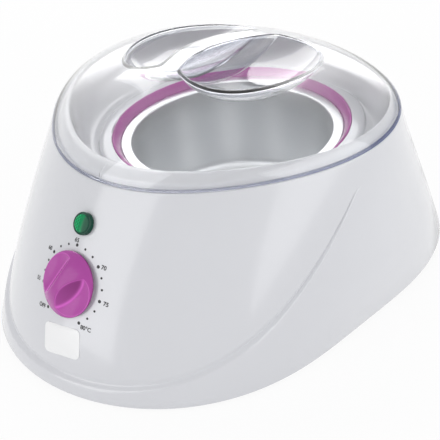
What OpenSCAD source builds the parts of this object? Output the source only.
// Paraffin wax warmer: a moulded housing with a dished deck, a removable pot in a heated well,
// a clear domed lid with two finger scoops, and a thermostat knob on the front panel.
// Millimetres. +Z is up, the control panel faces -Y, and the origin is the middle of the footprint.

/* [Foot] */
// Length of the foot, front to back
foot_l = 316; // [304:2:328]
// Width of the foot across its middle
foot_w = 244; // [236:2:254]
// Height of the skirt's edge above the table
skirt_z = 2.4; // [2:0.2:4]

/* [Shoulder] */
// Height of the shoulder line where the lid sits
rim_z = 110.8; // [106:0.2:116]
// Width of the shoulder
rim_w = 230; // [226:1:236]
// Reach of the shoulder in front of the pot's axis
rim_front = 119; // [116:0.5:123]
// Distance of the pot's axis behind the middle of the foot
pot_y = 24.3; // [20:0.1:28]

/* [Shell] */
// Wall of the housing
wall = 3; // [2.6:0.1:3.6]
// Outward swell of the sides at half height
side_swell = 2.9; // [1:0.1:5]
// Extra swell of the front panel at half height
front_swell = 5.1; // [2:0.1:7]

/* [Skirt crease] */
// Height of the crease at the front
crease_low = 12; // [10:0.5:18]
// Height of the crease where it runs out on the side
crease_high = 93; // [80:1:98]
// Angle from the front at which it runs out
crease_end = 78; // [60:1:90]
// Step from the skirt down to the panel at the front
crease_step = 2.3; // [1:0.1:3]

/* [Neck and dish] */
// Height of the neck's crown
neck_z = 117; // [115:0.2:118]
// Width of the crown at the front
neck_front = 16; // [14:0.2:18]
// Width of the crown at the sides
neck_side = 8.4; // [8.2:0.1:10]
// Width of the crown at the back
neck_back = 8.6; // [8.4:0.1:9.4]
// Width of the ledge that carries the lid
ledge_w = 3.4; // [3:0.1:4]
// Room between the collar ring and the neck at the back
back_room = 4.7; // [4.6:0.1:6]
// Height of the ring round the pot
deck_z = 91.9; // [90:0.1:94]
// Depth of the trough outside that ring
trough_d = 3.9; // [2:0.1:5]
// Width of the raised ring outside the collar ring
ring_w = 8.8; // [6:0.2:10]

/* [Pot] */
// Inner radius of the pot's mouth
pot_r = 65; // [62:0.5:66]
// Inner depth of the pot
pot_depth = 65; // [55:1:68]
// Wall of the pot
pot_wall = 1.2; // [1:0.1:1.6]
// Height of the pot's flange above the table
pot_z = 86.5; // [85.5:0.1:87.5]
// Width of the flange outside the mouth
flange_w = 7; // [6:0.2:8]
// Draft of the pot's wall, from mouth to floor
pot_draft = 2.5; // [1:0.1:4]

/* [Collar ring] */
// Gap between the flange and the collar ring
collar_gap = 0.4; // [0.3:0.1:1]
// Width of the collar ring
collar_w = 4.8; // [3.5:0.1:6]

/* [Lid] */
// Height of the dome above the shoulder
dome_h = 47.4; // [40:0.2:52]
// Wall of the lid
lid_wall = 2; // [1.6:0.1:2.2]
// Forward shift of the dome's summit from the pot's axis
dome_shift = 33.7; // [28:0.5:38]
// Half width of the bar between the scoops
bar_half = 7.3; // [6:0.1:9]
// Length of a scoop's bowl along the bar
scoop_l = 112; // [96:1:114]
// Reach of a scoop's bowl out from its centre
scoop_w = 39.7; // [32:0.5:42]
// Depth of a scoop's bowl below its widest ring
scoop_d = 24.3; // [18:0.1:25]

/* [Knob] */
// Diameter of the knob
knob_d = 39; // [36:0.5:42]
// Height of the knob
knob_h = 9.1; // [8.8:0.1:11]
// Height of the knob's centre above the table
knob_z = 60.8; // [56:0.2:66]
// Diameter of the thermostat's shaft
shaft_d = 6; // [5:0.5:6.5]

/* [Lamp and label] */
// Diameter of the lamp's lens
lamp_d = 13.5; // [11:0.5:15]
// Height of the lamp's centre above the table
lamp_z = 91; // [88:0.2:93]
// Height of the label's centre above the table
label_z = 29.9; // [27:0.1:31]
// Offset of the label's centre to the right
label_x = 1.2; // [-2:0.1:3]
// Slope of the label on the panel
label_turn = 7; // [0:0.5:8]
// Width of the label
label_w = 28; // [20:1:32]
// Height of the label
label_h = 18.4; // [12:0.2:19]

/* [Base plate] */
// Thickness of the base plate
plate_t = 3; // [2.5:0.1:3.6]
// Diameter of a rubber foot
foot_d = 16; // [13:0.5:18]
// Diameter of a screw boss
boss_d = 9; // [8:0.5:11]

/* [Heating] */
// Gap between the pot and the well
well_gap = 2; // [1.5:0.1:3]
// Wall of the well
well_wall = 1.2; // [1:0.1:1.8]
// Height of the heater band
heater_h = 34; // [24:1:40]
// Thickness of the heater band
heater_t = 2.4; // [1.5:0.1:3.2]

/* [Hidden] */

$fn = 96;
columns = 72;
seat_gap = 0.2;
run_fit = 0.05;
eps = 0.01;

// The rings outward from the pot's mouth, and the shoulder's reach behind them
flange_r = pot_r + flange_w;
collar_in = flange_r + collar_gap;
collar_out = collar_in + collar_w;
ring_r = collar_out + ring_w;
rim_back = collar_out + back_room + neck_back;

// Outlines in the order front, back, half width, egg shape, squareness
foot_o = [foot_l / 2, foot_l / 2, foot_w / 2, 2.8, -3.4];
rim_o = [rim_front, rim_back, rim_w / 2, 2.8, 1.8];

// Radius of an egg-shaped outline at an angle from the front
function outline(o, t) =
    let (half = (o[0] + o[1]) / 2, mean = (half + o[2]) / 2)
    mean - o[4] + ((o[0] - o[1]) / 2 - o[3]) * cos(t) + (half - o[2]) / 2 * cos(2 * t)
        + o[3] * cos(3 * t) + o[4] * cos(4 * t);
function clamp(v, low, high) = max(low, min(high, v));
function mix(a, b, f) = a + (b - a) * f;

// Angle from the front, 0 to 180 either way
function side(t) = abs(t) > 180 ? 360 - abs(t) : abs(t);
function crease_z(t) =
    crease_low + (crease_high - crease_low) * pow(min(side(t) / crease_end, 1), 2.7);
function crease_h(t) = crease_step * (1 - pow(min(side(t) / crease_end, 1), 3));
// How far the panel lies inside the body's plain surface
function recess(t, z) = z <= crease_z(t) ? 0
    : crease_h(t) * pow(1 - (z - crease_z(t)) / (rim_z - crease_z(t)), 1.5);
function swell(t) = side_swell + front_swell * pow(max(0, cos(t)), 6);
// Radius of the body at an angle and height, about the axis that leans from foot to rim
function body_r(t, z) =
    let (s = z / rim_z)
    mix(outline(foot_o, t), outline(rim_o, t), s) + swell(t) * 4 * s * (1 - s);
function body_y(z) = pot_y * z / rim_z;
function body_pt(t, z, out = 0) =
    let (r = body_r(t, z) + out)
    [r * sin(t), body_y(z) - r * cos(t), z];
// The outer skin, with the panel's recess
function skin_pt(t, z, out = 0) = body_pt(t, z, out - recess(t, z));
function rim_pt(t, r, z) = [r * sin(t), pot_y - r * cos(t), z];
function panel_y(z) = skin_pt(0, z)[1];
// Lean of the panel from the vertical on its centre line
function panel_lean(z) = atan2(panel_y(z + 1) - panel_y(z - 1), 2);

function crown_w(t) =
    let (a = (neck_front + neck_back) / 2)
    (a + neck_side) / 2 + (neck_front - neck_back) / 2 * cos(t) + (a - neck_side) / 2 * cos(2 * t);
function neck_r(t) = outline(rim_o, t) - crown_w(t);
// Foot of the dish wall, which closes on the raised ring at the back
function dish_r(t) = min(neck_r(t) - 2.5, ring_r + 0.25 * (neck_r(t) - ring_r));
function trough_z(t) = deck_z - 0.9 - (trough_d - 0.9) * clamp((dish_r(t) - ring_r + 2) / 4, 0, 1);
function crown_z(t) = neck_z - 0.5 + 0.5 * cos(t);

step_w = 1.5;
step_h = 2.9;
hole_r = pot_r + pot_wall + 1.4;
pot_seat_z = pot_z - pot_wall - 0.1;
well_in = pot_r + pot_wall + well_gap;
well_out = well_in + well_wall;
well_flange_r = well_out + 15;
deck_under = pot_seat_z - 5.2;
inner_top = rim_z - 4;

// One closed section of the housing: up the outside, over the crown, down the dish and back inside
function housing_section(t) =
    let (zc = crease_z(t), rise = rim_z - 1.2 - zc, rt = outline(rim_o, t), rn = neck_r(t),
        rd = dish_r(t), zt = trough_z(t), zn = crown_z(t), cw = crown_w(t) - ledge_w - step_w,
        sunk = crease_h(t) / crease_step, under = well_flange_r + 0.6)
    concat(
        [body_pt(t, skirt_z, -0.7), body_pt(t, skirt_z + 0.8)],
        [for (f = [0.4, 0.75, 1]) body_pt(t, mix(skirt_z + 0.8, zc - 3, f))],
        [body_pt(t, zc - 1.1, -0.35 * crease_h(t)),
            body_pt(t, zc, -crease_h(t) - 0.3 * sunk)],
        [for (f = [0.03, 0.1, 0.28, 0.46, 0.64, 0.82, 1]) skin_pt(t, zc + rise * f)],
        [rim_pt(t, rt - 0.4, rim_z - 0.35), rim_pt(t, rt - 1.2, rim_z),
            rim_pt(t, rt - ledge_w, rim_z), rim_pt(t, rt - ledge_w - step_w, rim_z + step_h)],
        [for (f = [[0.35, 0.6], [0.75, 0.97], [0.93, 0.85]])
            rim_pt(t, rt - ledge_w - step_w - cw * f[0], mix(rim_z + step_h, zn, f[1]))],
        [for (a = [82, 62, 42, 20, 0])
            rim_pt(t, mix(rd, rn, sin(a)), mix(zt, zn - 1.8, 1 - cos(a)))],
        [rim_pt(t, min(ring_r + 0.4, rd - 0.4), zt + 0.05),
            rim_pt(t, min(ring_r - 0.6, rd - 0.8), deck_z - 0.9),
            rim_pt(t, min(ring_r - 3, rd - 1.4), deck_z - 0.1),
            rim_pt(t, hole_r - 8, deck_z - 0.05), rim_pt(t, hole_r - 8, deck_under),
            rim_pt(t, under, deck_under),
            rim_pt(t, max(under + 0.3, rd + 1), max(deck_under + 1, zt - 3.4)),
            rim_pt(t, max(under + 0.6, mix(rd, rn, 0.8) + 2.4), zt + 8),
            rim_pt(t, rt - wall - 0.6, inner_top)],
        [for (f = [0.93, 0.6, 0.3, 0.06]) skin_pt(t, zc + rise * f - 1, -wall)],
        [for (f = [0.8, 0.4]) skin_pt(t, mix(skirt_z, zc - 3, f), -wall)],
        [body_pt(t, skirt_z, -wall)]);

// Joins sections into a closed ring
module ring_loft(sections) {
    n = len(sections);
    m = len(sections[0]);
    polyhedron(
        points = [for (s = sections) each s],
        faces = [for (i = [0:n - 1], j = [0:m - 1])
            let (a = i * m + j, b = i * m + (j + 1) % m,
                c = ((i + 1) % n) * m + (j + 1) % m, d = ((i + 1) % n) * m + j)
            each [[a, b, c], [a, c, d]]],
        convexity = 8);
}

// Stacks rings from bottom to top and closes both ends with flat or pointed caps
module stack_loft(rings) {
    n = len(rings[0]);
    m = len(rings);
    pts = concat([for (r = rings) each r], [centre(rings[0]), centre(rings[m - 1])]);
    polyhedron(
        points = pts,
        faces = concat(
            [for (j = [0:m - 2], i = [0:n - 1])
                let (a = j * n + i, b = j * n + (i + 1) % n)
                each [[a, a + n, b + n], [a, b + n, b]]],
            [for (i = [0:n - 1]) [i, (i + 1) % n, m * n]],
            [for (i = [0:n - 1])
                [(m - 1) * n + (i + 1) % n, (m - 1) * n + i, m * n + 1]]),
        convexity = 6);
}
function centre(r) = [for (k = [0:2]) let (v = [for (p = r) p[k]]) sum(v) / len(v)];
function sum(v, i = 0) = i < len(v) ? v[i] + sum(v, i + 1) : 0;
function angles(n) = [for (i = [0:n - 1]) i * 360 / n];

// Local +Z leaves the panel squarely and local +Y runs up it
module on_panel(z) {
    translate([0, panel_y(z), z])
        rotate([90 - panel_lean(z), 0, 0])
            children();
}

// The world place of a point in the panel's local frame
function panel_pt(z, p) =
    let (lean = panel_lean(z))
    [p[0], panel_y(z) + p[1] * sin(lean) - p[2] * cos(lean), z + p[1] * cos(lean) + p[2] * sin(lean)];

// Places for what repeats
boss_angles = [38, 142, 218, 322];
boss_h = 26;
// A boss leans into the wall at its top and stays inside the skin
function boss_at(t) =
    let (p = skin_pt(t, plate_top + boss_h, -boss_d / 2 - 1.2))
    [p[0], p[1], 0];
plate_z = skirt_z;
plate_top = plate_z + plate_t;
foot_angles = [30, 150, 210, 330];
function foot_at(t) =
    let (p = body_pt(t, 0, -32))
    [p[0], p[1], 0];
well_screw_r = well_out + 8.5;
well_screw_top = pot_seat_z - 0.8;
well_screw_angles = [45, 135, 225, 315];

thermostat_face = -6;
screw_gap = 28;
bush_d = 10;

module housing() {
    color("ghostwhite")
        difference() {
            union() {
                ring_loft([for (t = angles(columns)) housing_section(t)]);
                on_panel(knob_z)
                    translate([0, 0, thermostat_face])
                        cylinder(d = 46, h = -thermostat_face - wall / 2 - 0.8);
                for (t = boss_angles)
                    translate(boss_at(t) + [0, 0, plate_top])
                        cylinder(d = boss_d, h = boss_h);
            }
            // The mouth: a counterbore for flange and collar, and the hole the pot passes
            translate([0, pot_y, pot_seat_z])
                cylinder(r = collar_out + 0.1, h = deck_z);
            translate([0, pot_y, deck_under - 1])
                cylinder(r = hole_r, h = 20);
            for (t = well_screw_angles)
                translate([0, pot_y, 0])
                    rotate([0, 0, t])
                        translate([0, -well_screw_r, deck_under - 1])
                            cylinder(d = 2.6, h = well_screw_top - deck_under + 1.1);
            // The thermostat's bush and its two screws
            on_panel(knob_z) {
                translate([0, 0, -20])
                    cylinder(d = bush_d + 0.4, h = 30);
                for (x = [-screw_gap / 2, screw_gap / 2])
                    translate([x, 0, 0]) {
                        translate([0, 0, -20])
                            cylinder(d = 4.3, h = 30);
                        translate([0, 0, screw_head_z])
                            cylinder(d = 8, h = 10);
                    }
            }
            on_panel(lamp_z)
                translate([0, 0, -12])
                    cylinder(d = lamp_hole, h = 20);
            for (t = boss_angles)
                translate(boss_at(t) + [0, 0, plate_top - 1])
                    cylinder(d = 2.8, h = 16);
            on_rear(gland_z) {
                translate([0, 0, -20])
                    cylinder(d = gland_hole, h = 30);
                translate([0, 0, -0.8])
                    cylinder(d = gland_flange + 0.6, h = 8);
                translate([0, 0, -wall - 12])
                    cylinder(d = gland_flange + 0.6, h = 12 + 0.3);
            }
        }
}

screw_head_z = -2.2;
lamp_hole = lamp_d - 3;
gland_z = 24;
gland_hole = 12.4;
gland_flange = 18;

// Local +Z leaves the rear wall squarely
module on_rear(z) {
    p = body_pt(180, z);
    lean = atan2(body_pt(180, z - 1)[1] - body_pt(180, z + 1)[1], 2);
    translate(p)
        rotate([-90 + lean, 0, 0])
            children();
}

vent_x = 24;
vent_l = 30;
vent_w = 4;
vent_pitch = 14;

module plate_outline() {
    polygon([for (t = angles(columns))
        let (p = body_pt(t, plate_top, -wall - 0.5))
        [p[0], p[1]]]);
}

module base_plate() {
    color("whitesmoke")
        difference() {
            translate([0, 0, plate_z])
                linear_extrude(plate_t)
                    plate_outline();
            for (x = [-vent_x, vent_x], i = [-5:5])
                translate([x - vent_l / 2, pot_y - vent_pitch + i * vent_pitch, plate_z - 1])
                    cube([vent_l, vent_w, plate_t + 2]);
            for (t = boss_angles)
                translate(boss_at(t) + [0, 0, plate_z - 1]) {
                    cylinder(d = 3.6, h = plate_t + 2);
                    cylinder(d = 7, h = 2.4);
                }
            for (t = foot_angles)
                translate(foot_at(t) + [0, 0, plate_z - 1])
                    cylinder(d = foot_stem + 0.2, h = plate_t + 2);
        }
}

foot_stem = 6;

module rubber_feet() {
    color("dimgray")
        for (t = foot_angles)
            translate(foot_at(t))
                rotate_extrude()
                    polygon([[0, 0], [foot_d / 2 - 1, 0], [foot_d / 2, 1], [foot_d / 2, plate_z],
                        [foot_stem / 2, plate_z], [foot_stem / 2, plate_top + 0.1],
                        [foot_stem / 2 + 1, plate_top + 0.1], [foot_stem / 2 - 0.8, plate_top + 3.4],
                        [0, plate_top + 3.4]]);
}

// A pan-head screw along +Z with its head below z = 0
module screw(d, length, head_d, head_h) {
    translate([0, 0, -head_h])
        cylinder(d = head_d, h = head_h);
    translate([0, 0, -eps])
        cylinder(d = d, h = length + eps);
}

module base_screws() {
    color("silver")
        for (t = boss_angles)
            translate(boss_at(t) + [0, 0, plate_z + 1.4])
                screw(2.7, 14, 6.4, 1.3);
}

module collar_ring() {
    foot_z = pot_seat_z + 0.05;
    color("mediumvioletred")
        translate([0, pot_y, 0])
            rotate_extrude()
                polygon([[collar_in, foot_z], [collar_out, foot_z], [collar_out, deck_z - 0.3],
                    [collar_out - 0.7, deck_z], [collar_out - 1.6, deck_z - 0.7],
                    [mix(collar_in, collar_out, 0.42), mix(foot_z, deck_z, 0.6)],
                    [mix(collar_in, collar_out, 0.16), mix(foot_z, deck_z, 0.34)],
                    [collar_in, mix(foot_z, deck_z, 0.12)]]);
}

// Half section of a round pan, with a corner radius at the floor
function pan_curve(r, floor_r, z0, z1, corner) = concat(
    [[0, z0]],
    [for (a = [0:15:90]) [floor_r - corner + corner * sin(a), z0 + corner * (1 - cos(a))]],
    [[r, z1]]);

module pot() {
    floor_z = pot_z - pot_depth;
    inner = pan_curve(pot_r, pot_r - pot_draft, floor_z, pot_z - 1, 9);
    outer = pan_curve(pot_r + pot_wall, pot_r - pot_draft + pot_wall, floor_z - pot_wall,
        pot_z - pot_wall, 9 + pot_wall);
    color("silver")
        translate([0, pot_y, 0])
            rotate_extrude()
                polygon(concat(inner, [[pot_r + 0.3, pot_z - 0.3], [pot_r + 1, pot_z],
                    [flange_r - 0.4, pot_z], [flange_r, pot_z - 0.4],
                    [flange_r, pot_z - pot_wall]],
                    [for (i = [len(outer) - 1:-1:0]) outer[i]]));
}

// Height of the dome at a share of the rim outline, round at the summit
function dome_z(k, h) = rim_z + h * pow(max(0, 1 - pow(k * k + 0.01 * (1 - k), 0.625)), 0.662);
dome_rows = [1, 0.992, 0.975, 0.945, 0.9, 0.83, 0.74, 0.63, 0.51, 0.38, 0.25, 0.12, 0.04, 0.005];

// The dome as a solid; shy draws the whole surface in by a wall
module dome(shy, bottom) {
    rows = concat([[1, bottom]],
        [for (k = dome_rows) [k, max(bottom + 0.5, dome_z(k, dome_h - shy))]]);
    stack_loft([for (q = rows)
        [for (t = angles(lid_columns))
            let (r = (outline(rim_o, t) - shy) * q[0])
            [r * sin(t), pot_y - dome_shift * (1 - q[0]) - r * cos(t), q[1]]]]);
}

lid_columns = 60;
scoop_x = 22;
scoop_y = 3.6;
scoop_drop = 6.4;
scoop_tip = 14;
bar_lean = 3.7;

// The lower half of an ellipsoid, carried straight up from its widest ring
module bowl(rx, ry, depth, rise, n) {
    tilts = [8:82 / 7:90.1];
    stack_loft(concat(
        [for (a = tilts)
            [for (t = angles(n)) [rx * sin(a) * cos(t), ry * sin(a) * sin(t), -depth * cos(a)]]],
        [[for (t = angles(n)) [rx * cos(t), ry * sin(t), rise]]]));
}

// One finger scoop: a bowl tipped outward and cut off by the bar's steep side
module scoop(grow) {
    intersection() {
        translate([scoop_x, pot_y + scoop_y, rim_z + dome_h - scoop_drop])
            rotate([0, scoop_tip, 0])
                bowl(scoop_w + grow, scoop_l / 2 + grow, scoop_d + grow, 24, 32);
        translate([bar_half - grow, pot_y, rim_z + dome_h - 2])
            rotate([0, -bar_lean, 0])
                translate([0, -scoop_l, -scoop_l])
                    cube(2 * scoop_l);
    }
}

module lid() {
    color("lightcyan", 0.5)
        difference() {
            dome(0, rim_z + seat_gap);
            for (m = [0, 1])
                mirror([m, 0, 0])
                    scoop(0);
            difference() {
                dome(lid_wall, rim_z - 3);
                for (m = [0, 1])
                    mirror([m, 0, 0])
                        scoop(lid_wall);
            }
        }
}

well_floor = pot_z - pot_depth - pot_wall - well_gap - well_wall;

module heater_well() {
    color("lightgray")
        translate([0, pot_y, 0])
            difference() {
                rotate_extrude()
                    polygon(concat(
                        pan_curve(well_in, well_in, well_floor + well_wall, deck_under, 8),
                        [[well_flange_r, deck_under], [well_flange_r, deck_under - well_wall],
                            [well_out, deck_under - well_wall]],
                        [for (p = [for (i = [7:-1:0])
                            pan_curve(well_out, well_out, well_floor, deck_under - 3, 9)[i]]) p]));
                for (t = well_screw_angles)
                    rotate([0, 0, t])
                        translate([0, -well_screw_r, deck_under - 5])
                            cylinder(d = 3.4, h = 10);
            }
}

module well_screws() {
    color("silver")
        for (t = well_screw_angles)
            translate([0, pot_y, 0])
                rotate([0, 0, t])
                    translate([0, -well_screw_r, deck_under - well_wall])
                        screw(2.5, well_screw_top - deck_under + well_wall, 5.6, 1.6);
}

heater_lift = 18;
heater_z = well_floor + heater_lift;
heater_r = well_out + heater_t;
strap_t = 0.8;
strap_h = 10;
strap_z = heater_z + heater_h / 2;
strap_r = heater_r + strap_t;
lug_l = 12;

// A ring open by a gap at the front
module open_ring(r_in, r_out, h, gap) {
    difference() {
        cylinder(r = r_out, h = h);
        translate([0, 0, -1])
            cylinder(r = r_in, h = h + 2);
        translate([-gap / 2, -r_out - 5, -1])
            cube([gap, r_out, h + 2]);
    }
}

module heater_band() {
    color("saddlebrown")
        translate([0, pot_y, heater_z])
            open_ring(well_out, heater_r, heater_h, 14);
}

module band_strap() {
    color("gainsboro")
        translate([0, pot_y, strap_z - strap_h / 2])
            difference() {
                union() {
                    open_ring(heater_r + run_fit, strap_r, strap_h, 10);
                    for (x = [-5 - strap_t, 5])
                        translate([x, -strap_r - lug_l + 1, 0])
                            cube([strap_t, lug_l, strap_h]);
                }
                translate([-20, -strap_r - lug_l / 2, strap_h / 2])
                    rotate([0, 90, 0])
                        cylinder(d = 4.3, h = 40);
            }
}

module strap_screw() {
    color("silver")
        translate([-5 - strap_t, pot_y - strap_r - lug_l / 2, strap_z])
            rotate([0, 90, 0]) {
                screw(4, 10 + 2 * strap_t + 5, 7, 2.4);
                translate([0, 0, 10 + 2 * strap_t])
                    cylinder(d = 7.4, h = 3, $fn = 6);
            }
}

fuse_angle = 128;
fuse_r = 2.2;
fuse_wire = 13;
fuse_z = heater_z + 6;

// Turns a place to the side of the well, with +X outward
module beside_well(angle, r, z) {
    translate([0, pot_y, z])
        rotate([0, 0, angle - 90])
            translate([r, 0, 0])
                children();
}

module thermal_fuse() {
    color("silver")
        beside_well(fuse_angle, heater_r + fuse_r + 0.1, fuse_z)
            rotate([90, 0, 0]) {
                translate([0, 0, -7])
                    cylinder(r = fuse_r, h = 14);
                translate([0, 0, -fuse_wire])
                    cylinder(d = 1, h = 2 * fuse_wire);
            }
}

module fuse_clip() {
    color("gray")
        beside_well(fuse_angle, heater_r, fuse_z)
            difference() {
                translate([0, -3, -fuse_r - 4])
                    cube([2 * fuse_r + 1, 6, 2 * fuse_r + 5]);
                translate([fuse_r + 0.1, 10, 0])
                    rotate([90, 0, 0])
                        cylinder(r = fuse_r + run_fit, h = 20);
                translate([-heater_r, 0, -20])
                    cylinder(r = heater_r + run_fit, h = 40);
                translate([-1, -4, -fuse_r - 6])
                    cube([fuse_r + 0.6, 8, 6]);
            }
}

bulb_d = 6;
bulb_l = 70;
bulb_x = 22;
bulb_y0 = pot_y - 30;
bulb_z = well_floor - bulb_d / 2 - 0.1;

module sensing_bulb() {
    color("peru")
        translate([bulb_x, bulb_y0, bulb_z])
            rotate([-90, 0, 0])
                rotate_extrude()
                    polygon([[0, 0], [1, 0], [bulb_d / 2, 3], [bulb_d / 2, bulb_l - 2],
                        [bulb_d / 2 - 1.5, bulb_l], [0, bulb_l]]);
}

module bulb_clips() {
    clip_l = 8;
    color("silver")
        for (y = [bulb_y0 + 14, bulb_y0 + bulb_l - 14 - clip_l])
            translate([bulb_x, y, 0])
                difference() {
                    union() {
                        translate([-bulb_d / 2 - 1, 0, bulb_z - bulb_d / 2 - 1])
                            cube([bulb_d + 2, clip_l, bulb_d + 1.05]);
                        translate([-bulb_d / 2 - 6, 0, well_floor - 1.05])
                            cube([bulb_d + 12, clip_l, 1]);
                    }
                    translate([0, -1, bulb_z])
                        rotate([-90, 0, 0])
                            cylinder(d = bulb_d + 0.1, h = clip_l + 2);
                    translate([-bulb_d / 2 - run_fit, -1, bulb_z])
                        cube([bulb_d + 2 * run_fit, clip_l + 2, bulb_d]);
                }
}

thermostat_l = 34;
thermostat_w = 30;
thermostat_h = 22;

tab_x = [-9, 0, 9];
tab_y = 9;
tab_l = 8;
bracket_l = 40;
bracket_w = 16;
bracket_t = 1.5;
thermostat_back = thermostat_face - bracket_t - 0.1;
tab_end = thermostat_back - thermostat_h - tab_l;

module thermostat_body() {
    color("wheat")
        on_panel(knob_z)
            difference() {
                union() {
                    translate([-bracket_l / 2, -bracket_w / 2, thermostat_back])
                        cube([bracket_l, bracket_w, bracket_t]);
                    translate([-thermostat_w / 2, -thermostat_l / 2,
                        thermostat_back - thermostat_h])
                        cube([thermostat_w, thermostat_l, thermostat_h]);
                    translate([0, 0, thermostat_face - 2])
                        cylinder(d = bush_d, h = -thermostat_face + 1);
                    for (x = tab_x)
                        translate([x - 2.4, tab_y - 0.4, tab_end])
                            cube([4.8, 0.8, tab_l + 1]);
                }
                translate([0, 0, shaft_back - 0.3])
                    cylinder(d = shaft_d + 2 * run_fit, h = 40);
                for (x = [-screw_gap / 2, screw_gap / 2])
                    translate([x, 0, thermostat_face - 9])
                        cylinder(d = 3.4, h = 12);
            }
}

module thermostat_screws() {
    color("silver")
        on_panel(knob_z)
            for (x = [-screw_gap / 2, screw_gap / 2])
                translate([x, 0, screw_head_z])
                    mirror([0, 0, 1])
                        screw(3.3, 10, 7, 2);
}

shaft_back = -18;
shaft_top = 7;
knob_gap = 0.6;
flat_x = 1.6;

module d_rod(r, h, flat) {
    intersection() {
        cylinder(r = r, h = h);
        translate([-2 * r, -2 * r, 0])
            cube([2 * r + flat, 4 * r, h]);
    }
}

module thermostat_shaft() {
    color("dimgray")
        on_panel(knob_z)
            rotate([0, 0, -off_angle]) {
                translate([0, 0, shaft_back])
                    cylinder(d = shaft_d, h = -shaft_back + knob_gap);
                translate([0, 0, knob_gap])
                    d_rod(shaft_d / 2, shaft_top - knob_gap, flat_x);
            }
}

// Where the bar points when the heater is off, clockwise from straight up
off_angle = -148.9;
knob_r = knob_d / 2;
knob_edge = 1;
ridge_half = 2.9;
ridge_taper = 4.5;
wall_lean = 37.7;
pocket_at = [13.2, 1];
pocket_size = [15.2, 20.2, 9];
pocket_floor = 0.5;

// A low dome with a bar left standing between two pockets, narrower towards its pointing end
module knob() {
    color("mediumorchid")
        on_panel(knob_z)
            rotate([0, 0, -off_angle])
                difference() {
                    translate([0, 0, knob_gap])
                        rotate_extrude()
                            polygon(concat([[0, 0], [knob_r - 0.3, 0], [knob_r, 0.3]],
                                [for (f = [1:-0.1:0])
                                    [knob_r * f, mix(knob_h, knob_edge, f * f)]]));
                    for (m = [0, 1])
                        mirror([m, 0, 0])
                            knob_pocket();
                    translate([0, 0, knob_gap - 1])
                        d_rod(shaft_d / 2 + run_fit, shaft_top - knob_gap + 1.2,
                            flat_x + spring_t + 0.2);
                }
}

// A bowl with a nearly flat floor, cut off by the slanting side of the bar
module knob_pocket() {
    intersection() {
        translate([pocket_at[0], pocket_at[1], knob_gap + pocket_floor + pocket_size[2]])
            bowl(pocket_size[0], pocket_size[1], pocket_size[2], 4, 28);
        translate([ridge_half, 0, knob_gap + knob_h])
            rotate([0, 0, ridge_taper])
                rotate([0, -wall_lean, 0])
                    translate([0, -knob_r, -knob_r])
                        cube(2 * knob_r);
    }
}

spring_t = 0.4;

module knob_spring() {
    color("silver")
        on_panel(knob_z)
            rotate([0, 0, -off_angle])
                translate([flat_x + 0.1, -1.8, knob_gap + 0.6])
                    cube([spring_t, 3.6, shaft_top - knob_gap - 1.4]);
}

module lamp_lens() {
    lens_r = lamp_d / 2;
    lens_h = 2.9;
    dome_r = lens_r - 0.9;
    color("seagreen")
        on_panel(lamp_z)
            rotate_extrude()
                polygon(concat(
                    [[2.8, -9], [lamp_hole / 2 - run_fit, -9], [lamp_hole / 2 - run_fit, 0.4],
                        [lens_r, 0.4], [lens_r, lens_h - 0.5], [lens_r - 0.5, lens_h],
                        [dome_r, lens_h]],
                    [for (a = [15:15:90]) [dome_r * cos(a), lens_h + 1.1 * sin(a)]],
                    [[0, 1], [2.8, 0]]));
}

neon_l = 24;

module neon_lamp() {
    color("orange")
        on_panel(lamp_z)
            rotate_extrude()
                polygon([[0, -neon_l], [2, -neon_l], [2.5, 2 - neon_l], [2.5, -2], [1.4, -0.6],
                    [0, -0.6]]);
}

module lamp_clip() {
    color("silver")
        on_panel(lamp_z)
            translate([0, 0, -wall - 1.6])
                difference() {
                    cylinder(d = lamp_hole + 5, h = 0.6);
                    translate([0, 0, -1])
                        cylinder(d = lamp_hole - 0.05, h = 3);
                }
}

// The bare label follows the panel's curve
module label_plate() {
    across = 10;
    up = 4;
    lift = 0.05;
    label_t = 0.4;
    degrees = 180 / PI / body_r(0, label_z);
    slope = cos(panel_lean(label_z));
    function sheet(out) = [for (j = [0:up], i = [0:across])
        let (a = label_w * (i / across - 0.5), b = label_h * (j / up - 0.5),
            x = label_x + a * cos(label_turn) - b * sin(label_turn),
            y = a * sin(label_turn) + b * cos(label_turn))
        skin_pt(x * degrees, label_z + y * slope, out)];
    n = (across + 1) * (up + 1);
    w = across + 1;
    color("white")
        polyhedron(
            points = concat(sheet(lift), sheet(lift + label_t)),
            faces = concat(
                [for (j = [0:up - 1], i = [0:across - 1])
                    let (a = j * w + i)
                    each [[a, a + 1, a + w + 1], [a, a + w + 1, a + w]]],
                [for (j = [0:up - 1], i = [0:across - 1])
                    let (a = n + j * w + i)
                    each [[a, a + w + 1, a + 1], [a, a + w, a + w + 1]]],
                [for (i = [0:across - 1])
                    each [[i, n + i, n + i + 1], [i, n + i + 1, i + 1]]],
                [for (i = [0:across - 1])
                    let (a = up * w + i)
                    each [[a, n + a + 1, n + a], [a, a + 1, n + a + 1]]],
                [for (j = [0:up - 1])
                    let (a = j * w)
                    each [[a, a + w, n + a + w], [a, n + a + w, n + a]]],
                [for (j = [0:up - 1])
                    let (a = j * w + across)
                    each [[a, n + a + w, a + w], [a, n + a, n + a + w]]]),
            convexity = 4);
}

block_size = [44, 18, 15];
// Clear of the rear foot's stem and behind the well's flange
block_at = [foot_at(210)[0] + foot_stem / 2 + 2.5 + block_size[0] / 2,
    pot_y + well_flange_r + block_size[1] / 2 + 0.3, plate_top];
block_x = [-15, -5, 5, 15];
block_bore_z = 7;

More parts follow.
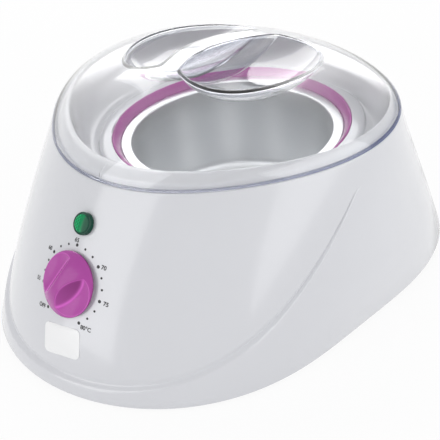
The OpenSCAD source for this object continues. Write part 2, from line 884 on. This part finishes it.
module terminal_block() {
    color("ivory")
        translate(block_at)
            difference() {
                translate([-block_size[0] / 2, -block_size[1] / 2, 0])
                    cube(block_size);
                for (x = block_x) {
                    translate([x, -block_size[1], block_bore_z])
                        rotate([-90, 0, 0])
                            cylinder(d = 4, h = 2 * block_size[1]);
                    translate([x, -4, block_bore_z])
                        cylinder(d = 4.4, h = 20);
                    translate([x, 4, block_bore_z])
                        cylinder(d = 4.4, h = 20);
                }
            }
}

module cord_gland() {
    color("whitesmoke")
        on_rear(gland_z)
            rotate_extrude()
                polygon([[3.6, -14], [gland_hole / 2 - 0.2, -14], [gland_hole / 2 - 0.2, -0.75],
                    [gland_flange / 2, -0.75], [gland_flange / 2, 1.6], [gland_flange / 2 - 1, 2.4],
                    [5, 2.4], [4.4, 6], [3.6, 6]]);
}

module gland_nut() {
    color("whitesmoke")
        on_rear(gland_z)
            translate([0, 0, -wall - 0.2 - 4.6])
                difference() {
                    cylinder(d = gland_flange - 0.6, h = 4.6, $fn = 6);
                    translate([0, 0, -1])
                        cylinder(d = gland_hole - 0.3, h = 8);
                }
}

// A point of a smooth curve through four points
function spline(a, b, c, d, f) =
    0.5 * (2 * b + (c - a) * f + (2 * a - 5 * b + 4 * c - d) * f * f
        + (3 * b - a - 3 * c + d) * f * f * f);
function smooth(p, steps) =
    let (n = len(p))
    concat([for (i = [0:n - 2], s = [0:steps - 1])
        spline(p[max(i - 1, 0)], p[i], p[i + 1], p[min(i + 2, n - 1)], s / steps)], [p[n - 1]]);
function unit(v) = v / norm(v);

// Carries a cross direction along a way without twist
function carry(ways, u, i = 0) =
    i == len(ways) ? []
    : let (v = unit(u - (u * ways[i]) * ways[i]))
        concat([v], carry(ways, v, i + 1));

// A round lead along a route of points
module lead(route, d, steps = 3) {
    p = smooth(route, steps);
    n = len(p);
    ways = [for (i = [0:n - 1]) unit(p[min(i + 1, n - 1)] - p[max(i - 1, 0)])];
    us = carry(ways, [0.31, 0.47, 0.83]);
    stack_loft([for (i = [0:n - 1])
        let (v = cross(ways[i], us[i]))
        [for (k = [0:7]) p[i] + d / 2 * (cos(45 * k) * us[i] + sin(45 * k) * v)]]);
}

lead_d = 2.4;
end_gap = 0.1;

// Ends of the routes, taken from what each lead meets
function tab_pt(i, out = 0) = panel_pt(knob_z, [tab_x[i], tab_y, tab_end - out]);
function block_pt(i, out = 0) =
    block_at + [block_x[i], out - block_size[1] / 2, block_bore_z];
function heater_pt(t, z, out = 0) =
    let (r = heater_r + lead_d / 2 + 0.1 + out)
    [r * sin(t), pot_y - r * cos(t), heater_z + z];
function fuse_pt(way) =
    let (r = heater_r + fuse_r + 0.1)
    [r * sin(fuse_angle) + way * fuse_wire * cos(fuse_angle),
        pot_y - r * cos(fuse_angle) + way * fuse_wire * sin(fuse_angle), fuse_z];

// Routes of the leads inside the housing
neutral_route = [block_pt(0, 3), block_pt(0, -2), block_pt(0, -6), heater_pt(-134, -17, 16),
    heater_pt(-118, -5, 12), heater_pt(-106, 3, 4), heater_pt(-98, 6, 0.6), heater_pt(-90, 6),
    heater_pt(-82, 6)];
fuse_route = [block_pt(2, 3), block_pt(2, -2), block_pt(2, -6), heater_pt(188, -13, 10),
    heater_pt(168, -1, 10), heater_pt(151, 6, 5), fuse_pt(1)];
switch_route = [fuse_pt(-1), heater_pt(101, 3, 8), heater_pt(77, -1, 19), heater_pt(53, 1, 33),
    heater_pt(26, 9, 41), tab_pt(2, 12), tab_pt(2, end_gap)];
heater_route = [tab_pt(1, end_gap), tab_pt(1, 6), heater_pt(5, 6, 10), heater_pt(13, 6, 2),
    heater_pt(21, 6, 0.2), heater_pt(29, 6), heater_pt(35, 6)];
lamp_end = panel_pt(lamp_z, [0, 0, -neon_l - 5]);
lamp_route = [panel_pt(lamp_z, [0, 0, -neon_l - end_gap]), lamp_end,
    (lamp_end + tab_pt(0, 8)) / 2 + [-1.5, 11, 0], tab_pt(0, 8), tab_pt(0, end_gap)];
tube_from = panel_pt(knob_z, [0, -10, thermostat_back - thermostat_h - end_gap]);
tube_to = [bulb_x, bulb_y0 - end_gap, bulb_z];
capillary_route = [tube_from, tube_from + [4, 14, -8], tube_from + [14, 36, -21],
    tube_to + [-2, -40, -3], tube_to + [0, -14, -1], tube_to];

module neutral_lead() {
    color("steelblue")
        lead(neutral_route, lead_d);
}

module fuse_lead() {
    color("sienna")
        lead(fuse_route, lead_d);
}

module switch_lead() {
    color("sienna")
        lead(switch_route, lead_d);
}

module heater_lead() {
    color("black")
        lead(heater_route, lead_d);
}

module lamp_lead() {
    color("steelblue")
        lead(lamp_route, lead_d);
}

module capillary_tube() {
    color("peru")
        lead(capillary_route, 1.6);
}

housing();
base_plate();
rubber_feet();
base_screws();
collar_ring();
pot();
lid();
heater_well();
well_screws();
heater_band();
band_strap();
strap_screw();
thermal_fuse();
fuse_clip();
sensing_bulb();
bulb_clips();
capillary_tube();
thermostat_body();
thermostat_screws();
thermostat_shaft();
knob();
knob_spring();
lamp_lens();
neon_lamp();
lamp_clip();
label_plate();
terminal_block();
cord_gland();
gland_nut();
neutral_lead();
fuse_lead();
switch_lead();
heater_lead();
lamp_lead();
